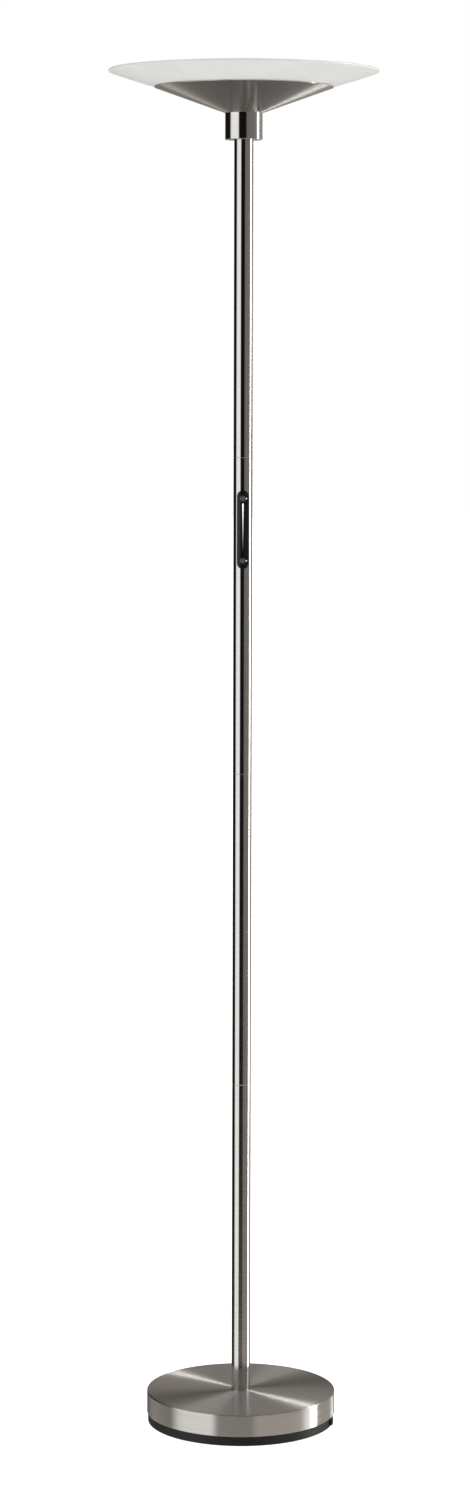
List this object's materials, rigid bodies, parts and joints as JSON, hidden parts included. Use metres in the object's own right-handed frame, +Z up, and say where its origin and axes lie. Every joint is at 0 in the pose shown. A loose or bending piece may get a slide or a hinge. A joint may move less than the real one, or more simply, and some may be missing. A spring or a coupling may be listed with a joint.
{
  "type": "torchiere floor lamp",
  "caption": "Torchiere floor lamp: a weighted round base, a slim sectional pole with a touch dimmer, and a shallow metal cone under a wide opal dish.",
  "frame": {"origin": "centre of the base on the floor, on the pole's axis", "axes": "+Z up along the pole, -Y out of the touch dimmer, +X to the right of someone who faces the dimmer"},
  "size_m": [0.353, 0.353, 1.8],
  "materials": {
    "brushed_nickel": "brushed nickel plate",
    "cast_iron": "as cast",
    "black_plastic": "fine grained",
    "rubber": "matt",
    "zinc_steel": "bright zinc plate",
    "white_plastic": "satin",
    "gloss_black": "high gloss",
    "circuit_board": "solder mask",
    "indicator": "milky",
    "aluminium": "satin",
    "white_board": "white solder mask",
    "opal": "opal, satin",
    "lead_sheath": "satin sheath"
  },
  "bodies": {
    "stand": {"base_cover": "brushed_nickel", "base_weight": "cast_iron", "base_pan": "black_plastic", "foot_pad_1": "rubber", "foot_pad_2": "rubber", "foot_pad_3": "rubber", "foot_pad_4": "rubber", "foot_pad_5": "rubber", "pan_screw_1": "zinc_steel", "pan_screw_2": "zinc_steel", "pan_screw_3": "zinc_steel", "cord_inlet_bushing": "black_plastic", "led_driver": "white_plastic", "driver_screw_1": "zinc_steel", "driver_screw_2": "zinc_steel", "base_pipe": "zinc_steel", "base_washer": "zinc_steel", "base_lock_washer": "zinc_steel", "base_nut": "zinc_steel", "pole_tube_1": "brushed_nickel", "pole_tube_2": "brushed_nickel", "pole_tube_3": "brushed_nickel", "pole_tube_4": "brushed_nickel", "pole_foot_bush": "zinc_steel", "joint_nipple_1": "zinc_steel", "joint_nipple_2": "zinc_steel", "joint_nipple_3": "zinc_steel", "joint_bush_1": "zinc_steel", "joint_bush_2": "zinc_steel", "joint_bush_3": "zinc_steel", "pole_top_bush": "zinc_steel", "touch_lens": "gloss_black", "touch_carrier": "black_plastic", "touch_board": "circuit_board", "indicator_upper": "indicator", "indicator_lower": "indicator", "touch_plug_upper": "white_plastic", "touch_plug_lower": "white_plastic", "neck_collar": "brushed_nickel", "head_cone": "brushed_nickel", "head_pipe": "zinc_steel", "head_spacer": "zinc_steel", "heat_plate": "aluminium", "head_washer": "zinc_steel", "head_nut": "zinc_steel", "led_board": "white_board", "led_screw_1": "zinc_steel", "led_screw_2": "zinc_steel", "led_screw_3": "zinc_steel", "led_plug": "white_plastic", "led_diffuser": "opal", "dish_gasket": "rubber", "lower_lead": "lead_sheath", "upper_lead": "lead_sheath"},
    "dish": {"opal_dish": "opal"}
  },
  "joints": [
    {"name": "dish_lift", "type": "slide", "parent": "stand", "child": "dish", "axis": [0, 0, 1], "range_m": [0, 0.06]}
  ]
}
